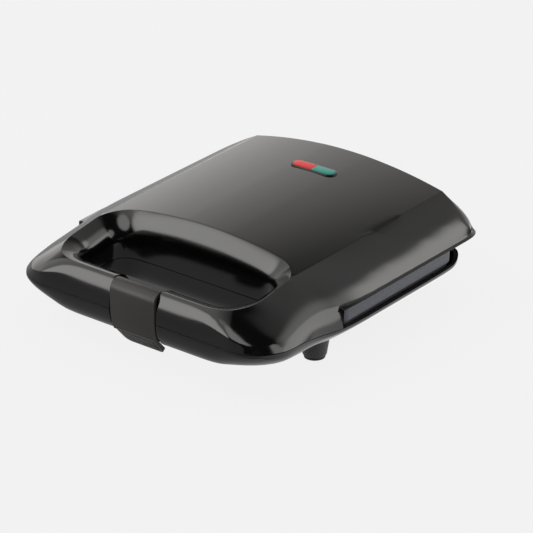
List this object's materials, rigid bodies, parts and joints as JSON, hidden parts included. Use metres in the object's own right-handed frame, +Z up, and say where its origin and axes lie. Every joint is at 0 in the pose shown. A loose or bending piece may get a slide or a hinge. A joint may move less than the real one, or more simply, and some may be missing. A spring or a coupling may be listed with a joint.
{
  "type": "sandwich toaster",
  "caption": "Hinged sandwich toaster with triangular cooking pockets, a finger-well handle, a closing clip and a two-colour indicator.",
  "frame": {"origin": "on the table under the middle of the part's box", "axes": "+X to the right, -Y towards the handle, +Z up"},
  "size_m": [0.23, 0.236, 0.0757],
  "materials": {
    "lid_plastic": "glossy dark moulded plastic",
    "base_plastic": "glossy dark moulded plastic",
    "clip_plastic": "satin dark plastic",
    "inner_plastic": "plain dark moulded plastic",
    "bezel_plastic": "dark surround",
    "red_lens": "translucent red plastic",
    "green_lens": "translucent green plastic",
    "plate_coating": "die-cast with a dark non-stick coat",
    "plate_cast": "die-cast with a grey non-stick coat",
    "element_steel": "sheathed element",
    "sheet_steel": "aluminised sheet",
    "screw_steel": "zinc plated",
    "pin_steel": "ground pin",
    "ceramic": "glazed ceramic",
    "fuse_metal": "fuse can",
    "wire_sleeve": "glass-fibre sleeve",
    "lamp_glass": "neon lamp",
    "gland_rubber": "moulded rubber",
    "pad_rubber": "soft pad"
  },
  "bodies": {
    "base": {"base_shell": "base_plastic", "lower_plate": "plate_coating", "lower_element": "element_steel", "lower_reflector": "sheet_steel", "lower_posts": "sheet_steel", "lower_screws": "screw_steel", "lower_front_cover": "inner_plastic", "lower_rear_cover": "inner_plastic", "hinge_brackets": "inner_plastic", "hinge_pins": "pin_steel", "latch_catch": "inner_plastic", "thermostat": "ceramic", "thermal_fuse": "fuse_metal", "terminal_block": "ceramic", "lower_wiring": "wire_sleeve", "harness_sleeve": "wire_sleeve", "cord_gland": "gland_rubber", "feet": "inner_plastic", "foot_pads": "pad_rubber", "foot_screws": "screw_steel"},
    "lid": {"lid_shell": "lid_plastic", "upper_plate": "plate_cast", "upper_element": "element_steel", "upper_reflector": "sheet_steel", "upper_posts": "sheet_steel", "upper_screws": "screw_steel", "upper_front_cover": "inner_plastic", "upper_rear_cover": "inner_plastic", "hinge_arms": "inner_plastic", "latch_carrier": "inner_plastic", "latch_pin": "pin_steel", "lens_bezel": "bezel_plastic", "power_lens": "red_lens", "ready_lens": "green_lens", "lamp_holder": "inner_plastic", "lamps": "lamp_glass", "upper_wiring": "wire_sleeve"},
    "clip": {"latch_clip": "clip_plastic"}
  },
  "joints": [
    {"name": "lid_hinge", "type": "hinge", "parent": "base", "child": "lid", "pos_m": [0, 0.1005, 0.0406], "axis": [-1, 0, 0], "range_deg": [0, 90], "deforming": ["harness_sleeve"]},
    {"name": "clip_pivot", "type": "hinge", "parent": "lid", "child": "clip", "pos_m": [0, -0.111, 0.0492], "axis": [-1, 0, 0], "range_deg": [0, 28]}
  ]
}
